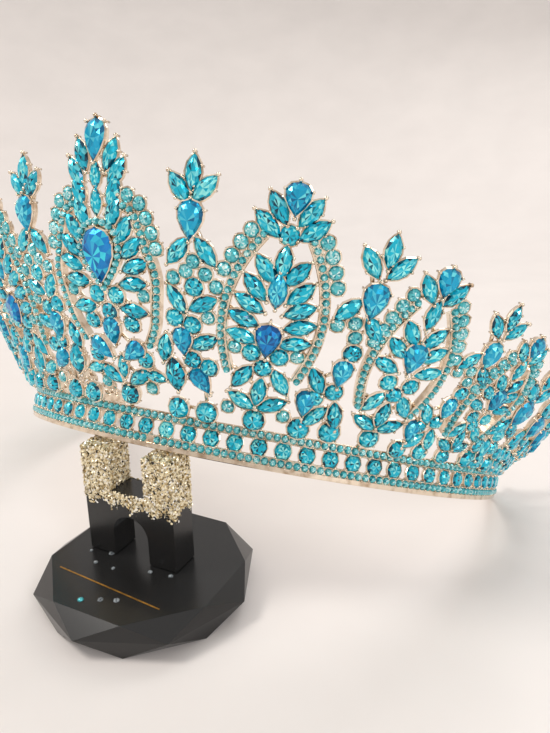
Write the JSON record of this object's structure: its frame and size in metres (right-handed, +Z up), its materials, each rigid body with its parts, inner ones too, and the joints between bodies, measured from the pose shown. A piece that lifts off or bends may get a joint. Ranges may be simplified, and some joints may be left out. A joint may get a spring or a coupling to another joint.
{
  "type": "pageant crown on a display stand",
  "caption": "Open-backed pageant crown of gilt metal set with blue and aqua glass stones, leaning on a small black display stand.",
  "frame": {"origin": "middle of the underside of the stand's base, on the floor", "axes": "+X to the right as the front is seen; the crown faces -Y; +Z up"},
  "size_m": [0.21, 0.1359, 0.1298],
  "materials": {
    "gilt_metal": "polished pale gold plating on a cast zinc alloy",
    "aqua_glass": "cut and polished, foiled at the back",
    "blue_glass": "cut and polished, foiled at the back",
    "black_acrylic": "polished, with gold glitter on the upper post"
  },
  "bodies": {
    "root": {"arch1_blue_left": "blue_glass", "arch1_blue_right": "blue_glass", "arch1_bottom_left": "aqua_glass", "arch1_bottom_right": "aqua_glass", "arch1_crest_left": "blue_glass", "arch1_crest_right": "blue_glass", "arch1_heart_left": "blue_glass", "arch1_heart_right": "blue_glass", "arch2_crest_left": "blue_glass", "arch2_crest_right": "blue_glass", "arch2_heart_left": "blue_glass", "arch2_heart_right": "blue_glass", "crown_frame": "gilt_metal", "front_bottom": "aqua_glass", "front_crest": "blue_glass", "front_drop": "blue_glass", "front_heart": "blue_glass", "front_side_drop_left": "blue_glass", "front_side_drop_right": "blue_glass", "spike1_bottom_a_left": "aqua_glass", "spike1_bottom_a_right": "aqua_glass", "spike1_bottom_b_left": "aqua_glass", "spike1_bottom_b_right": "aqua_glass", "spike1_broad_left": "blue_glass", "spike1_broad_right": "blue_glass", "spike1_lower_drop_left": "blue_glass", "spike1_lower_drop_right": "blue_glass", "spike1_pear_left": "blue_glass", "spike1_pear_right": "blue_glass", "spike1_upper_drop_left": "blue_glass", "spike1_upper_drop_right": "blue_glass", "spike2_bottom_a_left": "aqua_glass", "spike2_bottom_a_right": "aqua_glass", "spike2_bottom_b_left": "aqua_glass", "spike2_bottom_b_right": "aqua_glass", "spike2_lower_drop_left": "blue_glass", "spike2_lower_drop_right": "blue_glass", "spike2_pear_left": "blue_glass", "spike2_pear_right": "blue_glass", "spike2_upper_drop_left": "blue_glass", "spike2_upper_drop_right": "blue_glass", "stand_base": "black_acrylic", "stand_post": "black_acrylic"}
  },
  "joints": []
}
